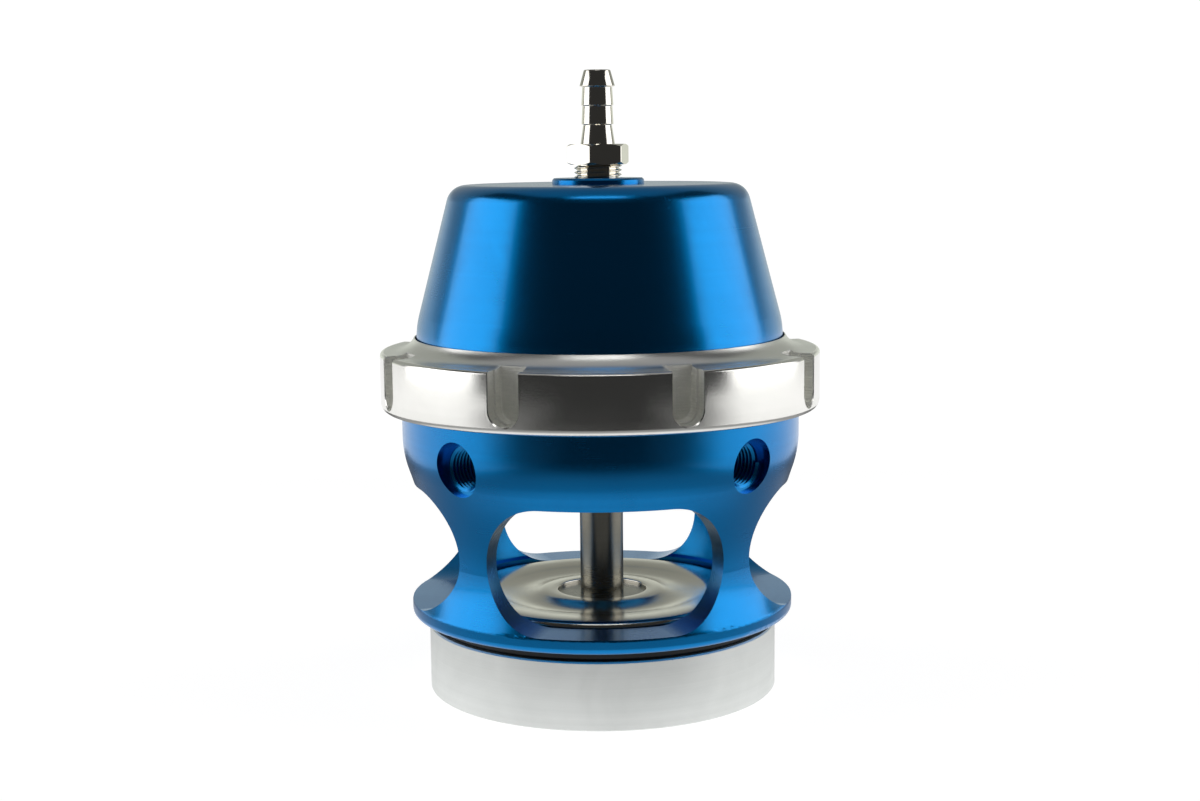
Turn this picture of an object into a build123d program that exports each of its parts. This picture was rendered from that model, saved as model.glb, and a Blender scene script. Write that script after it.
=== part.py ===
"""Blow-off valve for a turbocharged engine, built as it comes apart on a bench.

The frame's origin is the centre of the weld flange's bottom face. +Z runs along the stem
towards the hose barb, and -Y is the front, where one of the four windows faces.
All sizes are in millimetres. An azimuth is counted from the front towards +X.
"""

from math import cos, radians, sin, sqrt, tan

import os

from build123d import *

# Clearances shared by the pieces that fit together
thread_clearance = 0.1
running_clearance = 0.05
seat_gap = 0.05
slip_gap = 0.2

# Air passage, from which all the turned rings step outwards
flow_radius = 28.0

# Weld flange
flange_wall = 3.5
flange_bore_step = 0.5
flange_height = 14.45
flange_ledge_height = 5.5
flange_edge = 0.3

# Base seal between the flange and the body
base_seal_wire = 2.9
base_seal_height = 2.35
base_seal_edge = 0.7

# Body, from the screwed spigot up to the neck that carries the collar
spigot_wall = 6.5
rim_width = 7.2
rim_thickness = 3.17
rim_foot_radius = 1.3
rim_crown_radius = 1.6
ledge_rise = 0.1
seat_width = 4.9
seat_bore_rise = 1.2
seat_bore_edge = 0.6
waist_wall = 5.1
waist_height = 30.5
flare_depth = 4.55
flare_share = 0.705
neck_step = 1.95
bowl_over_window = 10.15
neck_over_window = 15.65
neck_height = 7.9
web_thickness = 3.5
chamber_wall = 3.8
chamber_step = 5.9
chamber_cone_base = 7.0
chamber_cone_height = 9.0
guide_boss_wall = 1.6
guide_boss_drop = 6.5
gland_depth = 4.6
gland_floor_drop = 2.2

# Windows, cut by a radial end mill that swings to both sides
window_count = 4
window_mill_radius = 12.94
window_swing = 19.3
web_over_window = 0.65

# Tapped side ports above the front pillars
port_azimuth = 45.0
port_over_window = 6.96
port_counterbore_radius = 5.8
port_counterbore_depth = 3.0
port_tap_radius = 4.75
port_tap_depth = 6.4
port_pilot_radius = 2.0

# Locking collar
collar_wall = 6.27
collar_rim_height = 12.7
collar_top_height = 15.35
collar_lip_gap = 0.35
collar_foot_edge = 1.1
collar_rim_edge = 0.7
collar_cove_radius = 4.0
collar_shoulder_run = 2.75
notch_count = 8
notch_half_width = 3.3
notch_turn = -2.5
notch_web = 1.07
notch_edge = 0.35
notch_floor_rise = 1.2

# Cap
cap_flange_thickness = 3.0
cap_flange_width = 1.45
cap_base_land = 9.0
cap_half_angle = 14.7
cap_height = 39.25
cap_wall = 3.3
cap_roof = 3.85
cap_top_fillet = 4.2
cap_base_blend = 20.0
cap_boss_wall = 4.95
cap_boss_height = 1.25
cap_boss_edge = 0.4
cap_inner_boss_gap = 1.8
cap_inner_boss_height = 3.2
tap_radius = 4.95

# Hose barb
barb_bore_radius = 2.0
shank_depth = 7.65
shank_above_cap = 2.85
hex_across_flats = 12.0
hex_height = 4.35
hex_turn = 14.6
barb_length = 15.66
barb_root_radius = 3.28
barb_ridge = 0.48
barb_foot = 0.3
barb_step = 3.87
barb_tip_radius = 2.8

# Valve: stem, disc and the plates that clamp the diaphragm
lift = 12.0
stem_radius = 4.75
stud_step = 0.75
stud_bevel = 0.6
disc_seat_overlap = 2.8
disc_over_sill = 0.83
disc_edge_thickness = 2.6
disc_edge_bevel = 0.75
disc_crest_width = 3.2
disc_dish_width = 10.5
disc_dish_depth = 0.95
disc_middle_thickness = 2.0
disc_middle_width = 4.3
hub_width = 4.95
hub_thickness = 2.1
hub_recess = 0.8
hub_bore_edge = 0.4
plate_gap = 0.8
plate_side_gap = 4.5
plate_edge = 0.6
lower_plate_thickness = 2.0
diaphragm_thickness = 1.0
diaphragm_fold = 2.8
spring_seat_base = 2.5
spring_seat_rim_width = 2.1
spring_seat_flange = 2.5
spring_seat_height = 17.3
spring_seat_wall = 2.5
washer_width = 4.0
washer_thickness = 1.5
nut_across_flats = 13.0
nut_height = 6.5
stud_end = 1.3

# Guide bush, stem seal and its retaining ring
bush_wall = 1.75
gland_step = 1.4
stem_seal_height = 2.6
retainer_height = 1.0
retainer_ring_width = 2.1
retainer_mouth = 60.0

# Springs, whose wire has as many flats as keep its coils light
wire_flats = 6
outer_spring_wire = 3.8
outer_spring_spare = 0.6
outer_spring_side_gap = 2.5
inner_spring_wire = 2.8
inner_spring_spare = 5.0
inner_spring_side_gap = 2.1

# Radii worked out from the sizes above, from the air passage outwards
spigot_radius = flow_radius + spigot_wall
flange_bore_radius = flow_radius + flange_bore_step
flange_radius = spigot_radius + thread_clearance + flange_wall
rim_radius = spigot_radius + rim_width
disc_radius = flow_radius + disc_seat_overlap
seat_bore_radius = flow_radius + seat_width
window_bore_radius = seat_bore_radius + seat_bore_edge
waist_radius = window_bore_radius + waist_wall
bowl_radius = waist_radius + flare_depth
neck_radius = bowl_radius - neck_step
chamber_radius = neck_radius - chamber_wall
well_radius = chamber_radius - chamber_step
plate_radius = well_radius - plate_side_gap
collar_radius = neck_radius + thread_clearance + collar_wall
cap_flange_radius = neck_radius - thread_clearance
cap_base_radius = cap_flange_radius - cap_flange_width
collar_lip_radius = cap_base_radius + collar_lip_gap
cap_boss_radius = tap_radius + cap_boss_wall
stud_radius = stem_radius - stud_step
hub_radius = stem_radius + hub_width
disc_middle_radius = hub_radius + disc_middle_width
bush_radius = stem_radius + bush_wall
gland_radius = bush_radius + gland_step
guide_boss_radius = gland_radius + guide_boss_wall
washer_radius = stud_radius + washer_width

# Heights worked out from the sizes above
body_base = flange_height + base_seal_height
sill = body_base + rim_thickness
seat_ledge = body_base + ledge_rise
window_middle = sill + window_mill_radius
window_top = sill + 2 * window_mill_radius
web_under = window_top + web_over_window
well_floor = web_under + web_thickness
port_height = window_top + port_over_window
bowl_height = window_top + bowl_over_window
neck_base = window_top + neck_over_window
body_top = neck_base + neck_height
collar_base = neck_base + slip_gap + thread_clearance
collar_rim = collar_base + collar_rim_height
collar_top = collar_base + collar_top_height
cap_flange_base = body_top + diaphragm_thickness
cap_flange_top = cap_flange_base + cap_flange_thickness
cap_top = cap_flange_base + cap_height
cap_ceiling = cap_top - cap_roof
shank_top = cap_top + cap_boss_height + shank_above_cap
hex_top = shank_top + hex_height
guide_foot = web_under - guide_boss_drop
gland_floor = well_floor - gland_floor_drop
guide_top = gland_floor + gland_depth
disc_top = sill + disc_over_sill
disc_under = disc_top - disc_edge_thickness
hub_top = disc_top - hub_recess
disc_bottom = hub_top - hub_thickness - disc_middle_thickness
plate_base = guide_top + plate_gap
diaphragm_base = plate_base + lower_plate_thickness
spring_seat_bottom = diaphragm_base + diaphragm_thickness
spring_seat_floor = spring_seat_bottom + spring_seat_base
spring_seat_top = spring_seat_bottom + spring_seat_height
stem_top = spring_seat_floor + washer_thickness + nut_height + stud_end
stem_bottom = disc_bottom - washer_thickness - nut_height - stud_end

# The cap's taper, and the springs that it leaves room for
cone_base = cap_flange_base + cap_base_land
cone_slope = tan(radians(cap_half_angle))
cap_top_radius = cap_base_radius - cone_slope * (cap_top - cone_base)
ceiling_radius = cap_base_radius - cap_wall - cone_slope * (cap_ceiling - cone_base)
outer_spring_radius = ceiling_radius - outer_spring_side_gap - outer_spring_wire / 2
spool_radius = outer_spring_radius - outer_spring_wire
spring_seat_flange_radius = outer_spring_radius + outer_spring_wire / 2 + spring_seat_rim_width
spool_bore_radius = spool_radius - spring_seat_wall
inner_spring_radius = spool_bore_radius - inner_spring_side_gap - inner_spring_wire / 2
cap_inner_boss_radius = inner_spring_radius - inner_spring_wire / 2 - cap_inner_boss_gap


def radial_plane(azimuth, distance, height):
    """A plane facing outwards, square to the radius at that azimuth, with its y axis up."""
    turn = radians(azimuth)
    outwards = (sin(turn), -cos(turn), 0)
    centre = (distance * sin(turn), -distance * cos(turn), height)
    return Plane(origin=centre, x_dir=(cos(turn), sin(turn), 0), z_dir=outwards)


def ring_profile(inner, outer, low, high):
    """A rectangle in the plane of a lathe profile, from two radii and two heights."""
    with Locations(((inner + outer) / 2, (low + high) / 2)):
        Rectangle(outer - inner, high - low)


# Weld flange: a turned ring with a pocket that the body screws into
with BuildPart() as weld_flange:
    with BuildSketch(Plane.XZ):
        with BuildLine():
            pocket_radius = spigot_radius + thread_clearance
            Polyline(
                (flange_bore_radius, 0),
                (flange_radius, 0),
                (flange_radius, flange_height),
                (pocket_radius, flange_height),
                (pocket_radius, flange_ledge_height),
                (flange_bore_radius, flange_ledge_height),
                close=True,
            )
        make_face()
    revolve(axis=Axis.Z)
    chamfer(weld_flange.edges().filter_by(GeomType.CIRCLE).sort_by(SortBy.RADIUS)[-2:], flange_edge)

# Base seal: a cord squeezed flat between the flange and the body's rim
with BuildPart() as base_seal:
    base_seal_inner = spigot_radius + slip_gap
    with BuildSketch(Plane.XZ) as base_seal_section:
        ring_profile(base_seal_inner, base_seal_inner + base_seal_wire, flange_height, body_base)
        chamfer(base_seal_section.vertices(), base_seal_edge)
    revolve(axis=Axis.Z)

# Body: one piece turned from bar, then milled for its windows and ports
with BuildPart() as body:
    rim_drop = waist_height - sill
    rim_step = rim_radius - waist_radius
    waist_arc_radius = (rim_drop**2 + rim_step**2) / (2 * rim_step)
    flare_rise = bowl_height - waist_height
    arc_sum = (flare_rise**2 + flare_depth**2) / (2 * flare_depth)
    flare_arc_radius = flare_share * arc_sum
    bowl_arc_radius = arc_sum - flare_arc_radius
    flare_meet = (
        waist_radius + flare_arc_radius - flare_arc_radius * sqrt(1 - (flare_rise / arc_sum) ** 2),
        waist_height + flare_arc_radius * flare_rise / arc_sum,
    )
    well_cone = well_floor + chamber_cone_base
    with BuildSketch(Plane.XZ) as body_section:
        with BuildLine():
            rim_edge = Polyline(
                (spigot_radius, body_base),
                (rim_radius, body_base),
                (rim_radius, sill),
            )
            waist = RadiusArc(rim_edge @ 1, (waist_radius, waist_height), waist_arc_radius)
            flare = RadiusArc(waist @ 1, flare_meet, flare_arc_radius)
            bowl = RadiusArc(flare @ 1, (bowl_radius, bowl_height), -bowl_arc_radius)
            Polyline(
                bowl @ 1,
                (bowl_radius, neck_base),
                (neck_radius, neck_base),
                (neck_radius, body_top),
                (chamber_radius, body_top),
                (chamber_radius, well_cone + chamber_cone_height),
                (well_radius, well_cone),
                (well_radius, well_floor),
                (guide_boss_radius, well_floor),
                (guide_boss_radius, guide_top),
                (gland_radius, guide_top),
                (gland_radius, gland_floor),
                (bush_radius, gland_floor),
                (bush_radius, guide_foot),
                (guide_boss_radius, guide_foot),
                (guide_boss_radius, web_under),
                (window_bore_radius, web_under),
                (window_bore_radius, sill + seat_bore_rise + seat_bore_edge),
                (seat_bore_radius, sill + seat_bore_rise),
                (seat_bore_radius, seat_ledge),
                (flow_radius, seat_ledge),
                (flow_radius, flange_ledge_height + slip_gap),
                (spigot_radius, flange_ledge_height + slip_gap),
                rim_edge @ 0,
            )
        make_face()
        fillet(body_section.vertices().sort_by_distance((rim_radius, body_base))[0], rim_foot_radius)
        fillet(body_section.vertices().sort_by_distance((rim_radius, sill))[0], rim_crown_radius)
    revolve(axis=Axis.Z)
    for index in range(window_count):
        window_azimuth = index * 360 / window_count
        window_depth = bowl_radius - flow_radius
        for side in (-1, 1):
            with BuildSketch(radial_plane(window_azimuth + side * window_swing, flow_radius, window_middle)):
                Circle(window_mill_radius)
            extrude(amount=window_depth, mode=Mode.SUBTRACT)
        with BuildSketch(Plane.XZ.rotated((0, 0, window_azimuth - 90 - window_swing))):
            ring_profile(flow_radius, bowl_radius, sill, window_top)
        revolve(axis=Axis.Z, revolution_arc=2 * window_swing, mode=Mode.SUBTRACT)
    for side in (-1, 1):
        port_face = bowl_radius - port_counterbore_depth
        with BuildSketch(radial_plane(side * port_azimuth, port_face, port_height)):
            Circle(port_counterbore_radius)
        extrude(amount=port_counterbore_depth + 1, mode=Mode.SUBTRACT)
        with BuildSketch(radial_plane(side * port_azimuth, port_face, port_height)):
            Circle(port_tap_radius)
        extrude(amount=-port_tap_depth, mode=Mode.SUBTRACT)
        with BuildSketch(radial_plane(side * port_azimuth, port_face, port_height)):
            Circle(port_pilot_radius)
        extrude(amount=well_radius - port_face - 1, mode=Mode.SUBTRACT)

# Seat seal: a moulded ring on the ledge that the disc closes against
with BuildPart() as seat_seal:
    with BuildSketch(Plane.XZ):
        ring_profile(flow_radius + slip_gap, seat_bore_radius - slip_gap, seat_ledge, disc_under - seat_gap)
    revolve(axis=Axis.Z)

# Guide bush: plain bronze, pressed into the boss under the web
with BuildPart() as guide_bush:
    with BuildSketch(Plane.XZ):
        ring_profile(stem_radius + running_clearance, bush_radius, guide_foot + slip_gap, gland_floor)
    revolve(axis=Axis.Z)
    chamfer(guide_bush.edges().filter_by(GeomType.CIRCLE).group_by(Axis.Z)[0], 0.3)

# Stem seal: a rubber ring in the gland above the bush
with BuildPart() as stem_seal:
    with BuildSketch(Plane.XZ):
        with BuildLine():
            seal_inner = stem_radius + running_clearance
            seal_outer = gland_radius - running_clearance
            seal_high = gland_floor + stem_seal_height
            lip_width = (seal_outer - seal_inner) / 3
            Polyline(
                (seal_inner, gland_floor),
                (seal_outer, gland_floor),
                (seal_outer, seal_high),
                (seal_outer - lip_width, seal_high),
                ((seal_inner + seal_outer) / 2, seal_high - 1),
                (seal_inner + lip_width, seal_high),
                (seal_inner, seal_high),
                close=True,
            )
        make_face()
    revolve(axis=Axis.Z)

# Seal retainer: an open snap ring over the stem seal
with BuildPart() as seal_retainer:
    retainer_outer = gland_radius - running_clearance
    with BuildSketch(Plane.XZ.rotated((0, 0, retainer_mouth / 2))):
        ring_profile(retainer_outer - retainer_ring_width, retainer_outer, seal_high, seal_high + retainer_height)
    revolve(axis=Axis.Z, revolution_arc=360 - retainer_mouth)

# Valve stem: the foot flange sits in the disc, and both ends carry studs
with BuildPart() as valve_stem:
    with BuildSketch(Plane.XZ):
        with BuildLine():
            Polyline(
                (0, stem_bottom),
                (stud_radius - stud_bevel, stem_bottom),
                (stud_radius, stem_bottom + stud_bevel),
                (stud_radius, hub_top - hub_thickness),
                (hub_radius, hub_top - hub_thickness),
                (hub_radius, hub_top),
                (stem_radius, hub_top),
                (stem_radius, plate_base),
                (stud_radius, plate_base),
                (stud_radius, stem_top - stud_bevel),
                (stud_radius - stud_bevel, stem_top),
                (0, stem_top),
                close=True,
            )
        make_face()
    revolve(axis=Axis.Z)

# Valve disc: a turned stainless plate with a bevelled edge and a dished ring
with BuildPart() as valve_disc:
    hub_bore = hub_radius + running_clearance
    crest_end = hub_bore + disc_crest_width
    dish_end = crest_end + disc_dish_width
    dish = ((crest_end + dish_end) / 2, disc_top - disc_dish_depth)
    with BuildSketch(Plane.XZ):
        with BuildLine():
            crest = Polyline(
                (stud_radius + running_clearance, hub_top - hub_thickness),
                (hub_bore, hub_top - hub_thickness),
                (hub_bore, disc_top - hub_bore_edge),
                (hub_bore + hub_bore_edge, disc_top),
                (crest_end, disc_top),
            )
            dishing = ThreePointArc(crest @ 1, dish, (dish_end, disc_top))
            Polyline(
                dishing @ 1,
                (disc_radius - disc_edge_bevel, disc_top),
                (disc_radius, disc_top - disc_edge_bevel),
                (disc_radius, disc_under + disc_edge_bevel),
                (disc_radius - disc_edge_bevel, disc_under),
                (flow_radius + slip_gap, disc_under),
                (disc_middle_radius, disc_bottom),
                (stud_radius + running_clearance, disc_bottom),
                crest @ 0,
            )
        make_face()
    revolve(axis=Axis.Z)

# Disc washer and disc nut: they clamp the disc against the stem's foot flange
with BuildPart() as disc_washer:
    with BuildSketch(Plane.XZ):
        ring_profile(stud_radius + slip_gap, washer_radius, disc_bottom - washer_thickness, disc_bottom)
    revolve(axis=Axis.Z)

with BuildPart() as disc_nut:
    with BuildSketch(Plane.XY.offset(disc_bottom - washer_thickness - nut_height)):
        RegularPolygon(nut_across_flats / 2, 6, major_radius=False)
        Circle(stud_radius + thread_clearance, mode=Mode.SUBTRACT)
    extrude(amount=nut_height)
    with BuildSketch(Plane.XZ):
        with BuildLine():
            nut_corner = nut_across_flats / sqrt(3)
            nut_foot = disc_bottom - washer_thickness - nut_height
            Polyline(
                (0, nut_foot),
                (nut_across_flats / 2, nut_foot),
                (nut_corner + 0.2, nut_foot + (nut_corner + 0.2 - nut_across_flats / 2) * tan(radians(30))),
                (nut_corner + 0.2, disc_bottom - washer_thickness),
                (0, disc_bottom - washer_thickness),
                close=True,
            )
        make_face()
    revolve(axis=Axis.Z, mode=Mode.INTERSECT)

# Lower plate: backs the diaphragm from below and sits on the stem's shoulder
with BuildPart() as lower_plate:
    with BuildSketch(Plane.XZ):
        ring_profile(stud_radius + running_clearance, plate_radius, plate_base, diaphragm_base)
    revolve(axis=Axis.Z)
    chamfer(lower_plate.edges().filter_by(GeomType.CIRCLE).sort_by(SortBy.RADIUS)[-2:], plate_edge)

# Diaphragm: one moulding, clamped between the plates and under the cap's flange
with BuildPart() as diaphragm:
    with BuildSketch(Plane.XZ):
        with BuildLine():
            Polyline(
                (stud_radius + running_clearance, diaphragm_base),
                (plate_radius + diaphragm_fold, diaphragm_base),
                (chamber_radius - diaphragm_fold, body_top),
                (neck_radius - slip_gap, body_top),
            )
            offset(amount=diaphragm_thickness, side=Side.LEFT, kind=Kind.INTERSECTION)
        make_face()
    revolve(axis=Axis.Z)

# Spring seat: a turned spool that clamps the diaphragm and carries the outer spring
with BuildPart() as spring_seat:
    with BuildSketch(Plane.XZ):
        with BuildLine():
            Polyline(
                (stud_radius + running_clearance, spring_seat_bottom),
                (plate_radius - plate_edge, spring_seat_bottom),
                (plate_radius, spring_seat_bottom + plate_edge),
                (plate_radius, spring_seat_floor),
                (spool_radius, spring_seat_floor),
                (spool_radius, spring_seat_top - spring_seat_flange),
                (spring_seat_flange_radius, spring_seat_top - spring_seat_flange),
                (spring_seat_flange_radius, spring_seat_top),
                (spool_bore_radius, spring_seat_top),
                (spool_bore_radius, spring_seat_floor),
                (stud_radius + running_clearance, spring_seat_floor),
                close=True,
            )
        make_face()
    revolve(axis=Axis.Z)

# Stem washer and stem nut: they clamp the plates and the diaphragm
with BuildPart() as stem_washer:
    with BuildSketch(Plane.XZ):
        ring_profile(
            stud_radius + slip_gap,
            washer_radius,
            spring_seat_floor,
            spring_seat_floor + washer_thickness,
        )
    revolve(axis=Axis.Z)

with BuildPart() as stem_nut:
    stem_nut_foot = spring_seat_floor + washer_thickness
    with BuildSketch(Plane.XY.offset(stem_nut_foot)):
        RegularPolygon(nut_across_flats / 2, 6, major_radius=False)
        Circle(stud_radius + thread_clearance, mode=Mode.SUBTRACT)
    extrude(amount=nut_height)
    with BuildSketch(Plane.XZ):
        with BuildLine():
            stem_nut_top = stem_nut_foot + nut_height
            Polyline(
                (0, stem_nut_foot),
                (nut_corner + 0.2, stem_nut_foot),
                (nut_corner + 0.2, stem_nut_top - (nut_corner + 0.2 - nut_across_flats / 2) * tan(radians(30))),
                (nut_across_flats / 2, stem_nut_top),
                (0, stem_nut_top),
                close=True,
            )
        make_face()
    revolve(axis=Axis.Z, mode=Mode.INTERSECT)

# Cap: a tapered cup with a flange under the collar's lip and a tapped boss on top
with BuildPart() as cap:
    inner_boss_foot = cap_ceiling - cap_inner_boss_height
    boss_top = cap_top + cap_boss_height
    with BuildSketch(Plane.XZ) as cap_section:
        with BuildLine():
            Polyline(
                (cap_base_radius - cap_wall, cap_flange_base),
                (cap_flange_radius, cap_flange_base),
                (cap_flange_radius, cap_flange_top),
                (cap_base_radius, cap_flange_top),
                (cap_base_radius, cone_base),
                (cap_top_radius, cap_top),
                (cap_boss_radius, cap_top),
                (cap_boss_radius, boss_top),
                (tap_radius, boss_top),
                (tap_radius, inner_boss_foot),
                (cap_inner_boss_radius, inner_boss_foot),
                (cap_inner_boss_radius, cap_ceiling),
                (ceiling_radius, cap_ceiling),
                (cap_base_radius - cap_wall, cone_base),
                close=True,
            )
        make_face()
        fillet(cap_section.vertices().sort_by_distance((cap_top_radius, cap_top))[0], cap_top_fillet)
        fillet(cap_section.vertices().sort_by_distance((cap_base_radius, cone_base))[0], cap_base_blend)
        chamfer(cap_section.vertices().sort_by(Axis.Y)[-2:], cap_boss_edge)
    revolve(axis=Axis.Z)

# Collar: a screwed locking ring with a coved shoulder and notches for a hook spanner
with BuildPart() as collar:
    collar_bore = neck_radius + thread_clearance
    lip_under = cap_flange_top
    with BuildSketch(Plane.XZ):
        with BuildLine():
            FilletPolyline(
                (collar_bore, collar_base),
                (collar_radius - collar_foot_edge, collar_base),
                (collar_radius, collar_base + collar_foot_edge),
                (collar_radius, collar_rim - collar_rim_edge),
                (collar_radius - collar_rim_edge, collar_rim),
                (collar_lip_radius + collar_shoulder_run, collar_rim),
                (collar_lip_radius, collar_top),
                (collar_lip_radius, lip_under),
                (collar_bore, lip_under),
                radius=(0, 0, 0, 0, 0, collar_cove_radius, 0, 0, 0),
                close=True,
            )
        make_face()
    revolve(axis=Axis.Z)
    notch_mouth = notch_half_width + notch_edge
    notch_centre = collar_base + notch_floor_rise + notch_mouth
    for index in range(notch_count):
        notch_azimuth = notch_turn + (index + 0.5) * 360 / notch_count
        for cut_depth, flare in ((collar_wall - notch_web, 0), (notch_edge, -45)):
            with BuildSketch(radial_plane(notch_azimuth, collar_radius - cut_depth, notch_centre)):
                Circle(notch_half_width)
                with Locations((0, collar_top_height / 2)):
                    Rectangle(2 * notch_half_width, collar_top_height)
            extrude(amount=cut_depth, taper=flare, mode=Mode.SUBTRACT)

# Hose barb: a plated fitting screwed into the cap's boss, bored through
with BuildPart() as hose_barb:
    with BuildSketch(Plane.XZ):
        with BuildLine():
            Polyline(
                (barb_bore_radius, cap_top - shank_depth + 1),
                (tap_radius - thread_clearance - 0.4, cap_top - shank_depth + 1),
                (tap_radius - thread_clearance, cap_top - shank_depth + 1.4),
                (tap_radius - thread_clearance, shank_top),
                (tap_radius - thread_clearance, hex_top),
                (barb_root_radius + barb_ridge, hex_top + barb_foot),
                (barb_root_radius, hex_top + barb_foot + barb_step),
                (barb_root_radius + barb_ridge / 2, hex_top + barb_foot + barb_step),
                (barb_root_radius, hex_top + barb_foot + 2 * barb_step),
                (barb_root_radius + barb_ridge / 2, hex_top + barb_foot + 2 * barb_step),
                (barb_root_radius, hex_top + barb_foot + 3 * barb_step),
                (barb_root_radius + barb_ridge, hex_top + barb_foot + 3 * barb_step),
                (barb_tip_radius, hex_top + barb_length),
                (barb_bore_radius, hex_top + barb_length),
                close=True,
            )
        make_face()
    revolve(axis=Axis.Z)
    with BuildSketch(Plane.XY.offset(shank_top)):
        RegularPolygon(hex_across_flats / 2, 6, major_radius=False, rotation=hex_turn)
        Circle(barb_bore_radius, mode=Mode.SUBTRACT)
    extrude(amount=hex_height)

# Springs: two coils side by side, with their ends ground flat against their seats


def coil_spring(radius, wire, spare, low, high):
    """A wire wound on a helix, cut flat at its two seats, with spare room per coil at full lift."""
    turns = (high - low - lift) / (wire + spare)
    wind_low = low + wire / 4
    wind_high = high - wire / 4
    pitch = (wind_high - wind_low) / turns
    with BuildPart() as spring:
        with BuildLine():
            wind = Helix(pitch, wind_high - wind_low, radius, center=(0, 0, wind_low))
        with BuildSketch(Plane(wind @ 0, z_dir=wind % 0)):
            RegularPolygon(wire / 2, wire_flats, rotation=180 / wire_flats)
        sweep(path=wind, is_frenet=True)
        with BuildSketch(Plane.XY.offset(low)):
            Circle(radius + wire)
        extrude(amount=high - low, mode=Mode.INTERSECT)
    return spring


outer_spring = coil_spring(
    outer_spring_radius, outer_spring_wire, outer_spring_spare, spring_seat_top, cap_ceiling
)
inner_spring = coil_spring(
    inner_spring_radius, inner_spring_wire, inner_spring_spare, spring_seat_floor, cap_ceiling
)

pieces = {
    "weld_flange": weld_flange,
    "base_seal": base_seal,
    "body": body,
    "seat_seal": seat_seal,
    "guide_bush": guide_bush,
    "stem_seal": stem_seal,
    "seal_retainer": seal_retainer,
    "valve_stem": valve_stem,
    "valve_disc": valve_disc,
    "disc_washer": disc_washer,
    "disc_nut": disc_nut,
    "lower_plate": lower_plate,
    "diaphragm": diaphragm,
    "spring_seat": spring_seat,
    "stem_washer": stem_washer,
    "stem_nut": stem_nut,
    "outer_spring": outer_spring,
    "inner_spring": inner_spring,
    "cap": cap,
    "collar": collar,
    "hose_barb": hose_barb,
}

os.makedirs("parts", exist_ok=True)
for name, piece in pieces.items():
    piece.part.label = name
    export_step(piece.part, f"parts/{name}.step")
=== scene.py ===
"""Dresses the blow-off valve for its portrait: finishes, finer pieces, threads, papers, lamps and camera.

The pieces follow each other as the valve is put together, from the weld flange up to the hose barb.
Lengths of the valve are written in millimetres and turned into metres where a mesh is made.
"""

from math import atan2, cos, hypot, pi, radians, sin, tan

import bmesh
import bpy
from mathutils import Matrix, Vector


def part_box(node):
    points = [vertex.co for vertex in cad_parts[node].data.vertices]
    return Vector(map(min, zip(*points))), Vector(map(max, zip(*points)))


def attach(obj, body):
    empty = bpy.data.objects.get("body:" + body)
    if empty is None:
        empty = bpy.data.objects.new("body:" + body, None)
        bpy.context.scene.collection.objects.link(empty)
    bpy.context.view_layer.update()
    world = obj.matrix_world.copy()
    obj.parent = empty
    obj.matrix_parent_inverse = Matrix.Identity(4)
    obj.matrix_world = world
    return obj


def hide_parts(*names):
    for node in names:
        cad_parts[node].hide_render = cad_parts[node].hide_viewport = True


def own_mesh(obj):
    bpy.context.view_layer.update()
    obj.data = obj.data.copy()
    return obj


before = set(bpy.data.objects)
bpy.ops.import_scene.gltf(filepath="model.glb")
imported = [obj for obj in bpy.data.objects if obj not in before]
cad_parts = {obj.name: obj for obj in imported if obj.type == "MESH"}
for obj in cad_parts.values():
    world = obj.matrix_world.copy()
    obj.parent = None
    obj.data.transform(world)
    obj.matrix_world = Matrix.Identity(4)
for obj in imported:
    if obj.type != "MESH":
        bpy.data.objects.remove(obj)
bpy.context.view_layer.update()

MM = 0.001


# Weld flange
# A plain ring of bare aluminium, faced and turned, left dull so that it can be welded to the pipe.
# The two groups made here, turning marks and handling, are shared by every metal of the valve.


def socket(tree, name, into=True, value=None):
    """One named input or output of a node group."""
    way = "INPUT" if into else "OUTPUT"
    made = tree.interface.new_socket(name, in_out=way, socket_type="NodeSocketFloat")
    if value is not None:
        made.default_value = value


def give(tree, entry, value):
    """Sets a node's input to a number or a colour, or links another node's output to it."""
    if isinstance(value, bpy.types.NodeSocket):
        tree.links.new(value, entry)
    else:
        entry.default_value = value


def node(tree, kind, given=None, **settings):
    """A shader node with its settings and what its inputs are given."""
    made = tree.nodes.new("ShaderNode" + kind)
    for key, value in settings.items():
        setattr(made, key, value)
    for key, value in (given or {}).items():
        give(tree, made.inputs[key], value)
    return made


def calculate(tree, operation, first, second):
    """A Math node of two values, each a number or another node's output."""
    return node(tree, "Math", {0: first, 1: second}, operation=operation).outputs[0]


def weigh(tree, first, second, share):
    """Two values added up, the first by its share and the second by the rest."""
    return calculate(tree, "ADD", calculate(tree, "MULTIPLY", first, share),
                     calculate(tree, "MULTIPLY", second, 1 - share))


def spread(tree, value, start=0.0, end=1.0, low=0.0, high=1.0):
    """A value that runs from start to end, spread over the range from low to high."""
    given = {"Value": value, "From Min": start, "From Max": end, "To Min": low, "To Max": high}
    return node(tree, "MapRange", given).outputs[0]


def noise(tree, scale, detail=2.0, roughness=0.5, distortion=0.0, along=None):
    """Noise over the whole valve or, with along, over a single value."""
    given = {"Scale": scale, "Detail": detail, "Roughness": roughness, "Distortion": distortion}
    if along is None:
        given["Vector"] = node(tree, "TexCoord").outputs["Object"]
        return node(tree, "TexNoise", given).outputs["Fac"]
    given["W"] = along
    return node(tree, "TexNoise", given, noise_dimensions="1D").outputs["Fac"]


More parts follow.
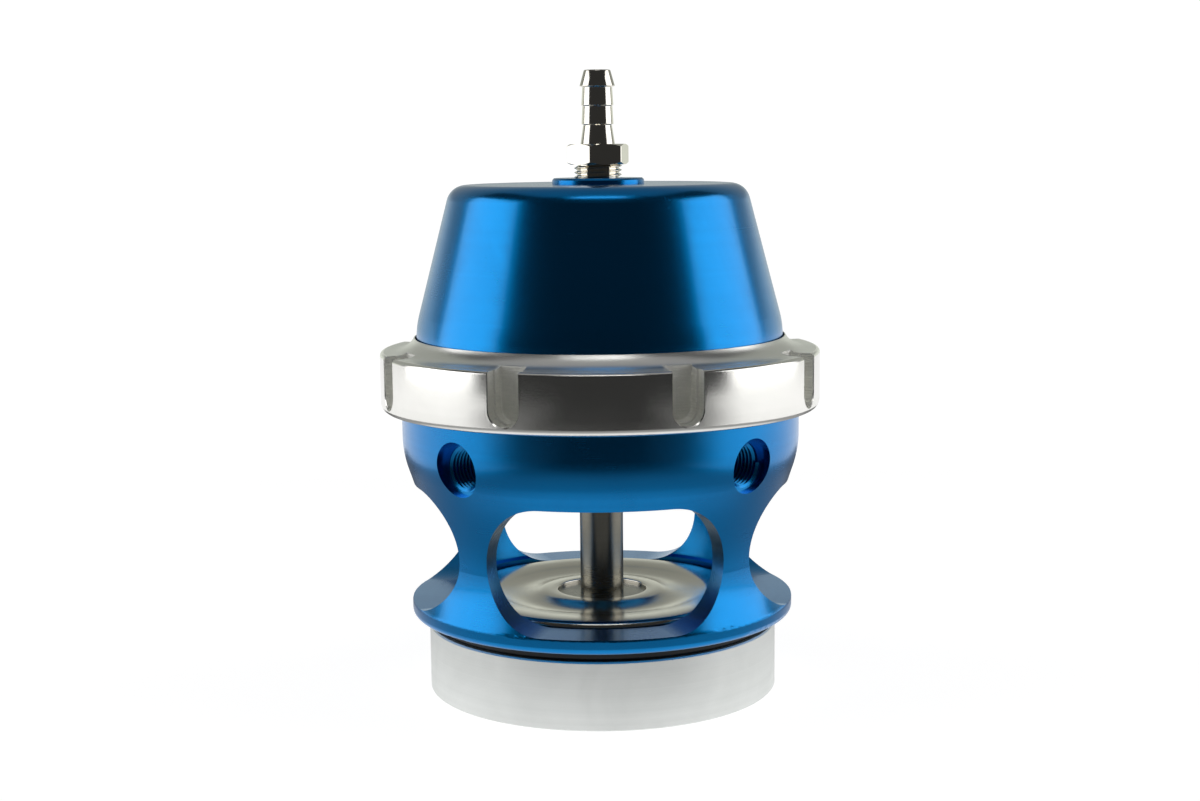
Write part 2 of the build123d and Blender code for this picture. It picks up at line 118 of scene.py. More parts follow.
def turning_marks_group():
    """Fine rings that a lathe tool leaves: they follow the height on walls and the radius on faces."""
    tree = bpy.data.node_groups.new("turning marks", "ShaderNodeTree")
    socket(tree, "Rings per millimetre", value=6.0)
    socket(tree, "Waviness", value=0.3)
    socket(tree, "Height", into=False)
    socket(tree, "Shade", into=False)
    given = tree.nodes.new("NodeGroupInput")
    result = tree.nodes.new("NodeGroupOutput")
    parts = node(tree, "SeparateXYZ", {0: node(tree, "TexCoord").outputs["Object"]})
    flat = node(tree, "CombineXYZ", {"X": parts.outputs["X"], "Y": parts.outputs["Y"]})
    radius = node(tree, "VectorMath", {0: flat.outputs[0]}, operation="LENGTH")
    along = calculate(tree, "ADD", radius.outputs["Value"], parts.outputs["Z"])
    sway = calculate(tree, "MULTIPLY", noise(tree, scale=40.0), given.outputs["Waviness"])
    millimetres = calculate(tree, "MULTIPLY", along, 1 / MM)
    feed = calculate(tree, "MULTIPLY", millimetres, given.outputs["Rings per millimetre"])
    rings = noise(tree, scale=1.0, detail=3.0, roughness=0.7, along=calculate(tree, "ADD", feed, sway))
    broad_rings = noise(tree, scale=0.13, along=feed)
    give(tree, result.inputs["Height"], rings)
    give(tree, result.inputs["Shade"], weigh(tree, rings, broad_rings, share=0.5))
    return tree


def handling_group():
    """What hands and a bench leave on metal: soft smudges, a few small specks and a fine grain."""
    tree = bpy.data.node_groups.new("handling", "ShaderNodeTree")
    socket(tree, "Smudge size", value=60.0)
    socket(tree, "Smudges", into=False)
    socket(tree, "Specks", into=False)
    socket(tree, "Grain", into=False)
    given = tree.nodes.new("NodeGroupInput")
    result = tree.nodes.new("NodeGroupOutput")
    smudge = noise(tree, given.outputs["Smudge size"], detail=5.0, roughness=0.6, distortion=0.6)
    place = node(tree, "TexCoord").outputs["Object"]
    speck = node(tree, "TexVoronoi", {"Scale": 420.0, "Vector": place})
    speck_shape = spread(tree, speck.outputs["Distance"], start=0.10, end=0.05)
    hue = node(tree, "SeparateColor", {0: speck.outputs["Color"]})
    speck_chance = spread(tree, hue.outputs[0], start=0.93, end=0.94)
    give(tree, result.inputs["Smudges"], spread(tree, smudge, start=0.38, end=0.68))
    give(tree, result.inputs["Specks"], calculate(tree, "MULTIPLY", speck_shape, speck_chance))
    give(tree, result.inputs["Grain"], noise(tree, scale=2600.0))
    return tree


turning_marks = turning_marks_group()
handling = handling_group()


def new_finish(name, metallic):
    """A new material and its nodes, bare metal at a metallic of 1."""
    made = bpy.data.materials.new(name)
    made.use_nodes = True
    made.node_tree.nodes["Principled BSDF"].inputs["Metallic"].default_value = metallic
    return made, made.node_tree


def two_shades(tree, share, first, second):
    """A colour between two others, by a share."""
    given = {"Factor": share, "A": (*first, 1), "B": (*second, 1)}
    return node(tree, "Mix", given, data_type="RGBA").outputs["Result"]


def lay_on(tree, colour, roughness, height, depth):
    """Gives the shader its colour, its roughness and a relief of a depth in millimetres."""
    shader = tree.nodes["Principled BSDF"]
    relief = node(tree, "Bump", {"Distance": depth * MM, "Height": height})
    give(tree, shader.inputs["Base Color"], colour)
    give(tree, shader.inputs["Roughness"], roughness)
    give(tree, shader.inputs["Normal"], relief.outputs[0])


def machined(name, pale, dark, rough, polish, rings, depth, grain=0.5, coat=0.0):
    """A turned metal: two shades that the rings and smudges mix, and a roughness between polish and rough.

    The rings are counted to the millimetre, and their depth is in millimetres. The grain is the share of
    that depth that fine grit marks have, and the coat is the weight of a thin clear skin.
    """
    made, tree = new_finish(name, metallic=1.0)
    shader = tree.nodes["Principled BSDF"]
    shader.inputs["Coat Weight"].default_value = coat
    shader.inputs["Coat Roughness"].default_value = 0.12
    marks = node(tree, "Group", {"Rings per millimetre": rings}, node_tree=turning_marks)
    hands = node(tree, "Group", node_tree=handling)
    share = weigh(tree, marks.outputs["Shade"], hands.outputs["Smudges"], share=0.6)
    rise = calculate(tree, "ADD", marks.outputs["Height"], hands.outputs["Specks"])
    grit = calculate(tree, "MULTIPLY", hands.outputs["Grain"], grain)
    roughness = spread(tree, share, low=polish, high=rough)
    lay_on(tree, two_shades(tree, share, pale, dark), roughness, calculate(tree, "ADD", rise, grit), depth)
    return made


def dress(name, material):
    """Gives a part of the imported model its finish."""
    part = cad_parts[name]
    part.data.materials.clear()
    part.data.materials.append(material)


flange_aluminium = machined(
    "bare flange aluminium", pale=(0.88, 0.90, 0.88), dark=(0.74, 0.76, 0.74),
    rough=0.50, polish=0.38, rings=5.0, depth=0.005,
)
dress("weld_flange", flange_aluminium)


# Base seal, seat seal and stem seal
# Black moulded rings: one squeezed between the flange and the body, one on the ledge that the disc closes
# on, and one around the stem. Rubber is dull and even, with a faint bloom.


def rubber(name, colour, rough, grain):
    """Moulded rubber: nearly black, with a faint grey bloom in patches and a fine grain."""
    made, tree = new_finish(name, metallic=0.0)
    bloom = noise(tree, scale=150.0, detail=4.0)
    bloom_gain = 2.2
    shade = two_shades(tree, bloom, colour, [bloom_gain * part for part in colour])
    roughness = spread(tree, bloom, low=rough - 0.1, high=rough + 0.1)
    lay_on(tree, shade, roughness, noise(tree, scale=2500.0), depth=grain)
    return made


seal_rubber = rubber("black seal rubber", colour=(0.006, 0.006, 0.006), rough=0.5, grain=0.01)
for seal in ("base_seal", "seat_seal", "stem_seal"):
    dress(seal, seal_rubber)


# Body
# Turned from bar and milled for its windows, then anodised: a blue dyed skin over bright metal.
# The skin gives a satin blue mirror, and the thin clear seal over it a paler shine at a low angle.
blue_anodised = machined(
    "blue anodised aluminium", pale=(0.0, 0.232, 0.60), dark=(0.0, 0.19, 0.51),
    rough=0.30, polish=0.22, rings=7.0, depth=0.0015, grain=1.6, coat=0.25,
)
dress("body", blue_anodised)


# Guide bush and seal retainer
# A plain bronze bush pressed into the boss under the web, and a zinc plated ring that is snapped in over
# the stem's seal.
bush_bronze = machined(
    "bush bronze", pale=(0.56, 0.36, 0.16), dark=(0.40, 0.25, 0.11),
    rough=0.45, polish=0.3, rings=6.0, depth=0.003,
)
dress("guide_bush", bush_bronze)
zinc_steel = machined(
    "zinc plated steel", pale=(0.66, 0.66, 0.63), dark=(0.50, 0.51, 0.50),
    rough=0.36, polish=0.22, rings=4.0, depth=0.002,
)
dress("seal_retainer", zinc_steel)


# Valve stem
# Ground steel rod, left with its own warm grey, with a foot flange that is let into the disc and a
# threaded stud at each end.
stem_steel = machined(
    "ground stem steel", pale=(0.31, 0.30, 0.25), dark=(0.22, 0.21, 0.18),
    rough=0.34, polish=0.24, rings=9.0, depth=0.003, grain=1.0,
)
dress("valve_stem", stem_steel)


# Valve disc
# Turned from stainless bar and polished: a shallow dished ring, a flat land and a full round edge.
# It is clamped between the stem's foot flange and a nut below, and rests on the seat seal.


def soften(outline, steps=6):
    """Points of a lathe outline whose corners (radius, height, rounding) are turned into arcs."""
    points = []
    for place, (radius, height, rounding) in enumerate(outline):
        corner = Vector((radius, height))
        if not rounding:
            points.append(corner)
            continue
        before = (Vector(outline[place - 1][:2]) - corner).normalized()
        after = (Vector(outline[(place + 1) % len(outline)][:2]) - corner).normalized()
        half = before.angle(after) / 2
        centre = corner + (before + after).normalized() * rounding / sin(half)
        start = corner + before * rounding / tan(half) - centre
        turn = (pi - 2 * half) * (1 if before.cross(after) < 0 else -1)
        for step in range(steps + 1):
            bend = Matrix.Rotation(turn * step / steps, 2)
            points.append(centre + bend @ start)
    return points


def point_at(shape, radius, turn, height):
    """A new point of a shape, from its radius, its turn about the stem's axis and its height."""
    return shape.verts.new((radius * cos(turn) * MM, radius * sin(turn) * MM, height * MM))


def bridge(shape, here, there):
    """Faces between two closed loops of points."""
    for place in range(len(here)):
        follow = (place + 1) % len(here)
        shape.faces.new((here[place], there[place], there[follow], here[follow]))


def finished(shape, name):
    """The mesh of a finished shape, with its faces turned outward."""
    bmesh.ops.recalc_face_normals(shape, faces=shape.faces)
    mesh = bpy.data.meshes.new(name)
    shape.to_mesh(mesh)
    shape.free()
    return mesh


def turned(name, outline, segments=256):
    """A ring mesh from a closed lathe outline in millimetres."""
    points = soften(outline)
    shape = bmesh.new()
    loops = []
    for step in range(segments):
        turn = 2 * pi * step / segments
        loops.append([point_at(shape, point.x, turn, point.y) for point in points])
    for here, there in zip(loops, loops[1:] + loops[:1]):
        bridge(shape, here, there)
    return finished(shape, name)


def smooth(mesh, angle=32):
    """Smooth shading, broken where two faces meet at more than the angle."""
    mesh.polygons.foreach_set("use_smooth", [True] * len(mesh.polygons))
    mesh.set_sharp_from_angle(angle=radians(angle))


def add_piece(name, mesh, body, slot, *materials):
    """Links a mesh into the scene as a piece of the valve."""
    made = bpy.data.objects.new(name, mesh)
    bpy.context.scene.collection.objects.link(made)
    mesh.materials.clear()
    for material in materials:
        mesh.materials.append(material)
    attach(made, body)
    return made


disc_low, disc_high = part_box("valve_disc")
disc_base = disc_low.z / MM
disc_top = disc_high.z / MM
disc_radius = disc_high.x / MM
disc_edge = 2.6
disc_edge_rounding = disc_edge / 2 - 0.02
disc_under = disc_top - disc_edge
disc_under_radius = 28.05
disc_boss_radius = 14.0
disc_hub_radius = 9.75
disc_hub_floor = disc_base + 2.0
stud_bore = 4.05
dish_start, dish_width, dish_depth = 12.95, 10.5, 0.95
dish_steps = 16
dish_line = []
for step in range(dish_steps + 1):
    share = step / dish_steps
    dish_line.append((dish_start + dish_width * share, disc_top - dish_depth * 4 * share * (1 - share), 0))
disc_mesh = turned("disc", (
    (stud_bore, disc_hub_floor, 0),
    (disc_hub_radius, disc_hub_floor, 0),
    (disc_hub_radius, disc_top, 0.3),
    *dish_line,
    (disc_radius, disc_top, disc_edge_rounding),
    (disc_radius, disc_under, disc_edge_rounding),
    (disc_under_radius, disc_under, 0),
    (disc_boss_radius, disc_base, 0.6),
    (stud_bore, disc_base, 0.2),
))
smooth(disc_mesh)
disc_steel = machined(
    "polished disc stainless", pale=(0.66, 0.63, 0.56), dark=(0.56, 0.54, 0.48),
    rough=0.26, polish=0.16, rings=8.0, depth=0.0015,
)
disc = add_piece("dished_disc", disc_mesh, "valve", "stainless", disc_steel)
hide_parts("valve_disc")
dress("valve_disc", disc_steel)


# Nuts and washers
# Zinc plated steel, one pair on each of the stem's two studs: the lower pair holds the disc, the upper
# pair the plates and the diaphragm.
for small_part in ("disc_washer", "disc_nut", "stem_washer", "stem_nut"):
    dress(small_part, zinc_steel)


# Lower plate, spring seat and diaphragm
# Plain turned aluminium plates clamp the middle of one moulding of fabric reinforced rubber, whose rim
# the cap holds on the body.
inner_aluminium = machined(
    "plain turned aluminium", pale=(0.78, 0.78, 0.77), dark=(0.62, 0.63, 0.63),
    rough=0.42, polish=0.3, rings=4.0, depth=0.004,
)
dress("lower_plate", inner_aluminium)
dress("spring_seat", inner_aluminium)
diaphragm_rubber = rubber("diaphragm rubber", colour=(0.016, 0.014, 0.012), rough=0.65, grain=0.03)
diaphragm_low, diaphragm_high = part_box("diaphragm")
diaphragm_thick = 1.0
diaphragm_base = diaphragm_low.z / MM
diaphragm_rim = diaphragm_high.z / MM - diaphragm_thick
diaphragm_radius = diaphragm_high.x / MM
wall_foot, wall_head, wall_shift = 29.8, 34.6, 0.72
inner_bend, outer_bend, rim_edge = 1.0, 2.0, 0.2
diaphragm_mesh = turned("diaphragm", (
    (stud_bore, diaphragm_base, 0),
    (wall_foot, diaphragm_base, outer_bend),
    (wall_head, diaphragm_rim, inner_bend),
    (diaphragm_radius, diaphragm_rim, rim_edge),
    (diaphragm_radius, diaphragm_rim + diaphragm_thick, rim_edge),
    (wall_head - wall_shift, diaphragm_rim + diaphragm_thick, outer_bend),
    (wall_foot - wall_shift, diaphragm_base + diaphragm_thick, inner_bend),
    (stud_bore, diaphragm_base + diaphragm_thick, 0),
), segments=128)
smooth(diaphragm_mesh)
valve_lift = 12.0
diaphragm = add_piece("folded_diaphragm", diaphragm_mesh, "housing", "diaphragm_rubber", diaphragm_rubber)
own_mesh(diaphragm)
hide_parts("diaphragm")
dress("diaphragm", diaphragm_rubber)


# Outer spring and inner spring
# Drawn steel wire wound to a coil, blued by its hardening and wiped with oil. The end coils are ground
# flat, and stand on the spring seat or its washer below and under the cap's roof above.
spring_steel = machined(
    "oiled spring steel", pale=(0.24, 0.24, 0.25), dark=(0.13, 0.13, 0.14),
    rough=0.42, polish=0.28, rings=3.0, depth=0.003,
)


def coil(name, node_name, wire, spare, sides=20, steps_per_turn=56):
    """A coil of round wire in a node's place, with a spare gap between its turns when the valve is up."""
    corner_low, corner_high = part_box(node_name)
    low, high = corner_low.z / MM, corner_high.z / MM
    radius = corner_high.x / MM - wire / 2
    turns = (high - low - valve_lift) / (wire + spare)
    steps = int(turns * steps_per_turn)
    shape = bmesh.new()
    rings = []
    for step in range(steps + 1):
        turn = 2 * pi * turns * step / steps
        level = low + wire / 4 + (high - low - wire / 2) * step / steps
        ring = []
        for side in range(sides):
            around = 2 * pi * side / sides
            height = min(high, max(low, level + wire / 2 * sin(around)))
            ring.append(point_at(shape, radius + wire / 2 * cos(around), turn, height))
        rings.append(ring)
    for here, there in zip(rings, rings[1:]):
        bridge(shape, here, there)
    shape.faces.new(rings[0])
    shape.faces.new(rings[-1])
    mesh = finished(shape, name)
    smooth(mesh, 40)
    made = add_piece(name, mesh, "housing", "spring_steel", spring_steel)
    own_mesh(made)
    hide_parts(node_name)
    dress(node_name, spring_steel)


coil("outer_coil", "outer_spring", wire=3.8, spare=0.6)
coil("inner_coil", "inner_spring", wire=2.8, spare=5.0)


# Cap
# The same anodised bar as the body, turned to a taper with a soft top corner and a small boss. The
# collar holds it down on the body, and it presses on the springs.
dress("cap", blue_anodised)


# Collar
# Turned from bright bar: a coved shoulder over a plain band, with eight notches milled for a hook
# spanner. Each has a narrow ledge, chatter marks on its walls, a rough floor and a broken edge.


def stadium(half_width, distance, middle, top, steps=20):
    """Corners of a notch's outline, square to the radius: a half circle below, straight sides above."""
    turns = [pi + pi * step / steps for step in range(steps + 1)]
    ring = [(half_width * cos(turn), distance, middle + half_width * sin(turn)) for turn in turns]
    return ring + [(half_width, distance, top), (-half_width, distance, top)]


def notch_cutter(azimuths, layers, middle, top):
    """The mill's path for every notch: outlines at growing distances, joined to a closed solid."""
    shape = bmesh.new()
    for azimuth in azimuths:
        spin = Matrix.Rotation(azimuth, 3, "Z")
        rings = []
        for distance, half_width in layers:
            outline = [Vector((x, -y, z)) for x, y, z in stadium(half_width, distance, middle, top)]
            rings.append([shape.verts.new(spin @ point * MM) for point in outline])
        for lower, upper in zip(rings, rings[1:]):
            bridge(shape, lower, upper)
        shape.faces.new(rings[0])
        shape.faces.new(rings[-1])
    return finished(shape, "notch cutter")


def carve(mesh, cutter_mesh):
    """A mesh with another taken away from it."""
    whole = bpy.data.objects.new("carved", mesh)
    cutter = bpy.data.objects.new("cutter", cutter_mesh)
    for made in (whole, cutter):
        bpy.context.scene.collection.objects.link(made)
    cut = whole.modifiers.new("cut", "BOOLEAN")
    cut.operation = "DIFFERENCE"
    cut.solver = "EXACT"
    cut.object = cutter
    left = bpy.data.meshes.new_from_object(whole.evaluated_get(bpy.context.evaluated_depsgraph_get()))
    bpy.data.objects.remove(whole)
    bpy.data.objects.remove(cutter)
    return left


collar_low, collar_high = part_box("collar")
collar_base = collar_low.z / MM
collar_top = collar_high.z / MM
collar_radius = 47.57
collar_rim = collar_base + 12.5
collar_lip_radius = 40.0
collar_lip_under = collar_base + 11.6
collar_thread_radius = 41.3
cove_slope = radians(62)
cove_radius = (collar_top - collar_rim) / (1 - cos(cove_slope))
cove_head = collar_lip_radius + 0.2
cove_steps = 10
cove_line = []
for step in range(cove_steps + 1):
    slope = cove_slope * step / cove_steps
    cove_line.append((cove_head + cove_radius * (sin(cove_slope) - sin(slope)),
                      collar_rim + cove_radius * (1 - cos(slope)), 0))
collar_mesh = turned("collar", (
    (collar_thread_radius, collar_base, 0.3),
    (collar_radius, collar_base, 1.5),
    (collar_radius, collar_rim, 0.8),
    *cove_line,
    (collar_lip_radius, collar_top, 0),
    (collar_lip_radius, collar_lip_under, 0),
    (collar_thread_radius, collar_lip_under, 0),
))
notch_count = 8
notch_start, notch_spacing = radians(20), 2 * pi / notch_count
notch_half_width = 3.3
notch_floor = collar_radius - 5.2
notch_ledge = collar_radius - 2.9
notch_break = collar_radius - 0.3
notch_bottom = collar_base + 1.55
ledge_width, ledge_edge, ledge_slope = 0.45, 0.08, 0.05
mill_corner = 0.2
mouth_reach, mouth_flare = 1, 1.3
cutter_top = collar_top + 2
collar_mesh = carve(collar_mesh, notch_cutter(
    [notch_start + notch_spacing * place for place in range(notch_count)],
    (
        (notch_floor, notch_half_width - ledge_width - mill_corner),
        (notch_floor + mill_corner, notch_half_width - ledge_width),
        (notch_ledge - ledge_edge, notch_half_width - ledge_width),
        (notch_ledge, notch_half_width - ledge_width + ledge_edge),
        (notch_ledge + ledge_slope, notch_half_width),
        (notch_break, notch_half_width),
        (collar_radius + mouth_reach, notch_half_width + mouth_flare),
    ),
    notch_bottom + notch_half_width,
    cutter_top,
))
smooth(collar_mesh)
bright_aluminium = machined(
    "bright turned aluminium", pale=(0.93, 0.92, 0.89), dark=(0.82, 0.82, 0.78),
    rough=0.26, polish=0.14, rings=5.0, depth=0.0015, grain=5.0,
)
satin_aluminium = machined(
    "form turned shoulder aluminium", pale=(0.98, 0.98, 0.95), dark=(0.92, 0.92, 0.88),
    rough=0.38, polish=0.25, rings=5.0, depth=0.0015, grain=5.0,
)
milled_aluminium, milled_nodes = new_finish("milled notch aluminium", metallic=1.0)
curls = noise(milled_nodes, scale=700.0, detail=4.0, distortion=1.5)
chatter = node(milled_nodes, "TexWave", {
    "Scale": 550.0, "Distortion": 2.0, "Vector": node(milled_nodes, "TexCoord").outputs["Object"],
}, bands_direction="Z")
chatter_share = 0.5
chatter_height = calculate(milled_nodes, "MULTIPLY", chatter.outputs["Fac"], chatter_share)
lay_on(
    milled_nodes,
    colour=two_shades(milled_nodes, curls, (0.84, 0.84, 0.80), (0.98, 0.98, 0.94)),
    roughness=spread(milled_nodes, curls, low=0.55, high=0.85),
    height=calculate(milled_nodes, "ADD", curls, chatter_height),
    depth=0.09,
)
collar = add_piece(
    "turned_collar", collar_mesh, "housing", "turned_aluminium",
    bright_aluminium, milled_aluminium, satin_aluminium,
)
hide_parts("collar")
dress("collar", bright_aluminium)
turned_band, milled_notch, coved_shoulder = range(3)
shoulder_radius = collar_radius - 0.6
milled_low = collar_base + 1.3
side_slack, floor_slack, break_slack = 0.01, 0.05, 0.02
for face in collar_mesh.polygons:
    middle = face.center / MM
    distance = hypot(middle.x, middle.y)
    azimuth = atan2(middle.x, -middle.y) - notch_start + notch_spacing / 2
    off_notch = azimuth % notch_spacing - notch_spacing / 2
    across, inward = abs(distance * sin(off_notch)), distance * cos(off_notch)
    between_walls = across < notch_half_width + side_slack
    in_depth = notch_floor - floor_slack < inward < notch_break + break_slack
    if between_walls and in_depth and middle.z > milled_low:
        face.material_index = milled_notch
    elif middle.z > collar_rim and distance < shoulder_radius:
        face.material_index = coved_shoulder
    else:
        face.material_index = turned_band


# Hose barb
# Brass bar turned, hexed and threaded in one piece, then nickel plated bright.
# Its pipe thread ends in the cap's boss, so that a few turns stay in sight under the hexagon.
nickel_brass = machined(
    "bright nickel plate", pale=(0.84, 0.81, 0.74), dark=(0.72, 0.69, 0.62),
    rough=0.14, polish=0.07, rings=6.0, depth=0.0012,
)
barb_low, barb_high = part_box("hose_barb")
barb_tip = barb_high.z / MM
barb_foot = barb_low.z / MM
tail_length, hex_height = 15.66, 4.35
hex_top = barb_tip - tail_length
hex_base = hex_top - hex_height
tail_root = hex_top - 1
shank_head = hex_base + 0.5
hex_across_flats = 12.0
hex_turn = radians(44.6)
bore_radius = 2.0
shank_radius = 4.3
pipe_pitch = 0.941


def hexagon(name, across_flats, low, high, spin, chamfer=0.58, rounding=0.4, steps=16):
    """A hexagon with its corners turned off at both ends, as a lathe leaves bar stock, and worn round."""
    flat = across_flats / 2
    corner = (flat - rounding) / cos(pi / 6)
    face_end = atan2((flat - rounding) * tan(pi / 6), flat)
    round_steps = 4
    turns = [face_end * (2 * step / steps - 1) for step in range(steps + 1)]
    turns += [face_end + (pi / 3 - 2 * face_end) * step / round_steps for step in range(1, round_steps)]
    end_radius = flat - 0.1
    shape = bmesh.new()
    rows = []
    for height, is_end in ((low, True), (low, False), (high, False), (high, True)):
        row = []
        for side in range(6):
            for turn in turns:
                off_corner = pi / 6 - turn
                if turn > face_end:
                    half_chord = (rounding ** 2 - (corner * sin(off_corner)) ** 2) ** 0.5
                    reach = corner * cos(off_corner) + half_chord
                else:
                    reach = flat / cos(turn)
                inset = max(0.0, reach - flat) * chamfer
                if is_end:
                    radius, level = min(end_radius, reach), height
                else:
                    radius, level = reach, height + (inset if height == low else -inset)
                row.append(point_at(shape, radius, turn + side * pi / 3 + spin, level))
        rows.append(row)
    for lower, upper in zip(rows, rows[1:]):
        bridge(shape, lower, upper)
    shape.faces.new(rows[0])
    shape.faces.new(rows[-1])
    return finished(shape, name)


def thread(name, crest, root, low, high, taper=0.0, segments=96):
    """A closed V thread of the pipe's pitch, wider towards its high end by a taper.

    The profile's pairs are a share of the pitch and a radius. With the crest inside the root it lines a
    hole. Its back lies in the metal, half a thread's depth behind the root.
    """
    profile = ((0.0, root), (0.08, root), (0.46, crest), (0.54, crest), (0.92, root))
    back = root + (root - crest) / 2
    shape = bmesh.new()
    turns = int((high - low) / pipe_pitch)
    line = [(wind + share, radius) for wind in range(turns) for share, radius in profile]
    line.append((turns, root))
    line += [(wind, back) for wind in reversed(range(turns + 1))]
    columns = []
    for step in range(segments + 1):
        column = []
        for winds, radius in line:
            climb = pipe_pitch * (winds + step / segments)
            column.append(point_at(shape, radius + taper * climb, 2 * pi * step / segments, low + climb))
        columns.append(column)
    for here, there in zip(columns, columns[1:]):
        bridge(shape, here, there)
    # The cut ends of the helix, each closed by a flat face
    edge = len(profile)
    first, last = columns[0], columns[-1]
    shape.faces.new(first[:edge + 1] + first[-2:])
    shape.faces.new(last[edge * (turns - 1):edge * turns + 3])
    bmesh.ops.remove_doubles(shape, verts=shape.verts, dist=1e-6)
    return finished(shape, name)


tail_foot_radius = 4.2
ridge_pitch, ridge_step = 4.0, 0.2
ridges = ((3.10, 3.43, 0.12), (3.22, 3.43, 0.12), (3.20, 3.80, 0.15))
ridge_line = []
for place, (waist, crest, rounding) in enumerate(ridges, start=1):
    level = hex_top + ridge_pitch * place
    ridge_line += [(waist, level, 0.08), (crest, level + ridge_step, rounding)]
tail_mesh = turned("hose tail", (
    (bore_radius, tail_root, 0),
    (tail_foot_radius, tail_root, 0),
    (tail_foot_radius, hex_top, 0),
    (3.70, hex_top, 0),
    *ridge_line,
    (2.82, barb_tip, 0.3),
    (bore_radius, barb_tip, 0.2),
), segments=128)
smooth(tail_mesh, 25)
tail = add_piece("hose_tail", tail_mesh, "housing", "nickel_brass", nickel_brass)
hexagon_mesh = hexagon("hexagon", hex_across_flats, hex_base, hex_top, hex_turn)
smooth(hexagon_mesh, 12)
add_piece("barb_hexagon", hexagon_mesh, "housing", "nickel_brass", nickel_brass)
shank_mesh = turned("threaded shank", (
    (bore_radius, barb_foot, 0),
    (shank_radius, barb_foot, 0.3),
    (shank_radius, shank_head, 0),
    (bore_radius, shank_head, 0),
), segments=96)
smooth(shank_mesh)
add_piece("barb_shank", shank_mesh, "housing", "nickel_brass", nickel_brass)
pipe_crest, pipe_root, pipe_taper = 4.88, 4.22, 1 / 32
pipe_start, pipe_end = barb_foot + 0.6, hex_base - 0.3
thread_mesh = thread("pipe thread", pipe_crest, pipe_root, pipe_start, pipe_end, pipe_taper)
smooth(thread_mesh, 20)
add_piece("pipe_thread", thread_mesh, "housing", "nickel_brass", nickel_brass)
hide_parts("hose_barb")
dress("hose_barb", nickel_brass)


# Port threads
# The two side ports are tapped 1/8 in before anodising, so that their threads are blue too. Each port
# looks outward over a front pillar, halfway between two windows.
port_crest, port_root = 4.15, 4.73
port_inner, port_mouth = 33.0, 40.4
port_level = 52.81
port_azimuth = radians(45)
for side, port_name in ((-1, "port_thread_left"), (1, "port_thread_right")):
    port_mesh = thread(port_name, port_crest, port_root, port_inner, port_mouth)
    smooth(port_mesh, 20)
    port_axis = Vector((side * sin(port_azimuth), -cos(port_azimuth), 0))
    port_turn = port_axis.to_track_quat("Z", "Y").to_matrix().to_4x4()
    port_mesh.transform(Matrix.Translation((0, 0, port_level * MM)) @ port_turn)
    add_piece(port_name, port_mesh, "housing", "blue_anodised", blue_anodised)


# Table, backdrop and room
# A small white table with leaves at its sides, and a white card behind it. They and the room are white
# to the camera, but what the metal mirrors of them is darker, so that the valve's front stays dark.


def white_paper(name, shown, diffuse, along, stops, tint=(1, 1, 1)):
    """Paper that looks white to the camera and paler or darker in the metal, and still takes a shadow.

    The mirrored whiteness follows the distance from the valve or an axis, and the stops are pairs of a
    place along it in metres and a strength. The tint is the paper's colour in the metal.
    """
    made = bpy.data.materials.new(name)
    made.use_nodes = True
    tree = made.node_tree
    tree.nodes.clear()
    place = node(tree, "TexCoord").outputs["Object"]
    if along == "distance":
        way = node(tree, "VectorMath", {0: place}, operation="LENGTH").outputs["Value"]
    else:
        way = node(tree, "SeparateXYZ", {0: place}).outputs[along]
    start, end = stops[0][0], stops[-1][0]
    change = node(tree, "ValToRGB", {0: spread(tree, way, start, end)})
    ramp = change.color_ramp
    ramp.interpolation = "EASE"
    while len(ramp.elements) < len(stops):
        ramp.elements.new(0.5)
    for stop, (position, strength) in zip(ramp.elements, stops):
        stop.position = (position - start) / (end - start)
        stop.color = (strength, strength, strength, 1)
    path = node(tree, "LightPath")
    seen = path.outputs["Is Camera Ray"]
    bounced = calculate(tree, "MAXIMUM", path.outputs["Is Glossy Ray"], path.outputs["Is Transmission Ray"])
    whiteness = calculate(tree, "ADD", calculate(tree, "MULTIPLY", seen, shown),
                          calculate(tree, "MULTIPLY", bounced, change.outputs["Color"]))
    glow = node(tree, "Emission", {"Color": two_shades(tree, seen, tint, (1, 1, 1)), "Strength": whiteness})
    paper = node(tree, "BsdfDiffuse", {"Color": (diffuse, diffuse, diffuse, 1)})
    both = node(tree, "AddShader", {0: paper.outputs[0], 1: glow.outputs[0]})
    node(tree, "OutputMaterial", {"Surface": both.outputs[0]})
    return made


def sheet_of_paper(name, corners, material):
    """A flat stage piece from its corners, in metres."""
    mesh = bpy.data.meshes.new(name)
    mesh.from_pydata(corners, [], [tuple(range(len(corners)))])
    mesh.materials.append(material)
    made = bpy.data.objects.new(name, mesh)
    bpy.context.scene.collection.objects.link(made)


def level_sheet(name, start, end, front, back, material):
    """A sheet at the table's level, between two places to its sides and two from front to back."""
    corners = ((start, front), (end, front), (end, back), (start, back))
    sheet_of_paper(name, [(x, y, table_level) for x, y in corners], material)


table_level = -0.0002
table_side, table_front, table_back = 0.16, -0.205, 0.26
leaf_side, wing_side, wing_front, wing_back = 0.34, 1.4, -0.45, 0.9
card_high = 1.6
table_paper = white_paper(
    "table paper", shown=0.92, diffuse=0.3, along="distance",
    stops=((0.05, 0.84), (0.08, 0.70), (0.105, 0.24), (0.145, 0.24), (0.19, 0.08)),
)
leaf_paper = white_paper(
    "leaf paper", shown=1.0, diffuse=0.3, along="Y", stops=((-0.22, 0.05), (-0.08, 0.92))
)
wing_paper = white_paper(
    "wing paper", shown=1.0, diffuse=0.3, along="Y", stops=((-0.40, 0.04), (-0.26, 0.92))
)
card_paper = white_paper(
    "backdrop paper", shown=1.0, diffuse=0.2, along="Z",
    stops=((0.16, 0.75), (0.30, 0.32), (1.6, 0.26)), tint=(0.96, 1.0, 0.90),
)
level_sheet("table", -table_side, table_side, table_front, table_back, table_paper)
